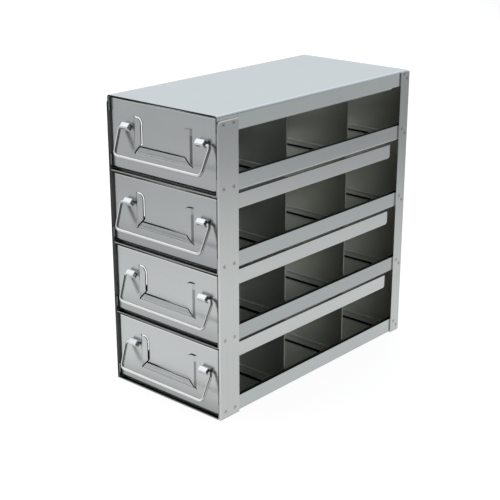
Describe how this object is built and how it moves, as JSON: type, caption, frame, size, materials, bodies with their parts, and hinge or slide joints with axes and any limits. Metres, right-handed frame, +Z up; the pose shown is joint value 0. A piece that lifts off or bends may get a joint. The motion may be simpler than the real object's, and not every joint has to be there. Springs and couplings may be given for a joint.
{
  "type": "freezer storage rack",
  "caption": "Upright stainless steel freezer rack: open-sided sliding drawers with dividers, lanced label holders and wire bail handles in a spot-welded frame.",
  "frame": {"origin": "centre of the base, on the underside of the bottom panel, midway between the front edges and the backs of the rear posts", "axes": "+Z up; the drawers slide out towards -Y; +X is to the right as seen from the front"},
  "size_m": [0.14, 0.3003, 0.287],
  "materials": {
    "panel_steel": "fine straight grain, satin",
    "post_steel": "fine straight grain, satin, with brownish spot-weld marks",
    "drawer_steel": "fine straight grain, satin",
    "drawer_inner_steel": "dull mill finish",
    "polished_clip": "electropolished",
    "polished_wire": "electropolished"
  },
  "bodies": {
    "frame": {"top_panel": "panel_steel", "bottom_panel": "panel_steel", "shelf_1": "panel_steel", "shelf_2": "panel_steel", "shelf_3": "panel_steel", "front_post_left": "post_steel", "front_post_right": "post_steel", "rear_post_left": "post_steel", "rear_post_right": "post_steel"},
    "drawer_1": {"drawer_1_tray": "drawer_inner_steel", "drawer_1_front": "drawer_steel", "drawer_1_rail_left": "drawer_steel", "drawer_1_rail_right": "drawer_steel", "drawer_1_divider_1": "drawer_inner_steel", "drawer_1_divider_2": "drawer_inner_steel", "drawer_1_back_wall": "drawer_inner_steel", "drawer_1_clip_left": "polished_clip", "drawer_1_clip_right": "polished_clip"},
    "bail_1": {"drawer_1_bail": "polished_wire"},
    "drawer_2": {"drawer_2_tray": "drawer_inner_steel", "drawer_2_front": "drawer_steel", "drawer_2_rail_left": "drawer_steel", "drawer_2_rail_right": "drawer_steel", "drawer_2_divider_1": "drawer_inner_steel", "drawer_2_divider_2": "drawer_inner_steel", "drawer_2_back_wall": "drawer_inner_steel", "drawer_2_clip_left": "polished_clip", "drawer_2_clip_right": "polished_clip"},
    "bail_2": {"drawer_2_bail": "polished_wire"},
    "drawer_3": {"drawer_3_tray": "drawer_inner_steel", "drawer_3_front": "drawer_steel", "drawer_3_rail_left": "drawer_steel", "drawer_3_rail_right": "drawer_steel", "drawer_3_divider_1": "drawer_inner_steel", "drawer_3_divider_2": "drawer_inner_steel", "drawer_3_back_wall": "drawer_inner_steel", "drawer_3_clip_left": "polished_clip", "drawer_3_clip_right": "polished_clip"},
    "bail_3": {"drawer_3_bail": "polished_wire"},
    "drawer_4": {"drawer_4_tray": "drawer_inner_steel", "drawer_4_front": "drawer_steel", "drawer_4_rail_left": "drawer_steel", "drawer_4_rail_right": "drawer_steel", "drawer_4_divider_1": "drawer_inner_steel", "drawer_4_divider_2": "drawer_inner_steel", "drawer_4_back_wall": "drawer_inner_steel", "drawer_4_clip_left": "polished_clip", "drawer_4_clip_right": "polished_clip"},
    "bail_4": {"drawer_4_bail": "polished_wire"}
  },
  "joints": [
    {"name": "drawer_1_slide", "type": "slide", "parent": "frame", "child": "drawer_1", "axis": [0, -1, 0], "range_m": [0, 0.25]},
    {"name": "drawer_2_slide", "type": "slide", "parent": "frame", "child": "drawer_2", "axis": [0, -1, 0], "range_m": [0, 0.25]},
    {"name": "drawer_3_slide", "type": "slide", "parent": "frame", "child": "drawer_3", "axis": [0, -1, 0], "range_m": [0, 0.25]},
    {"name": "drawer_4_slide", "type": "slide", "parent": "frame", "child": "drawer_4", "axis": [0, -1, 0], "range_m": [0, 0.25]},
    {"name": "bail_1_swing", "type": "hinge", "parent": "drawer_1", "child": "bail_1", "pos_m": [0.0038, -0.14405, 0.25997], "axis": [-1, 0, 0], "range_deg": [-23, 150]},
    {"name": "bail_2_swing", "type": "hinge", "parent": "drawer_2", "child": "bail_2", "pos_m": [0.0023, -0.14405, 0.18822], "axis": [-1, 0, 0], "range_deg": [-23, 150]},
    {"name": "bail_3_swing", "type": "hinge", "parent": "drawer_3", "child": "bail_3", "pos_m": [0.0038, -0.14405, 0.11647], "axis": [-1, 0, 0], "range_deg": [-23, 150]},
    {"name": "bail_4_swing", "type": "hinge", "parent": "drawer_4", "child": "bail_4", "pos_m": [0.0019, -0.14405, 0.04472], "axis": [-1, 0, 0], "range_deg": [-23, 150]}
  ]
}
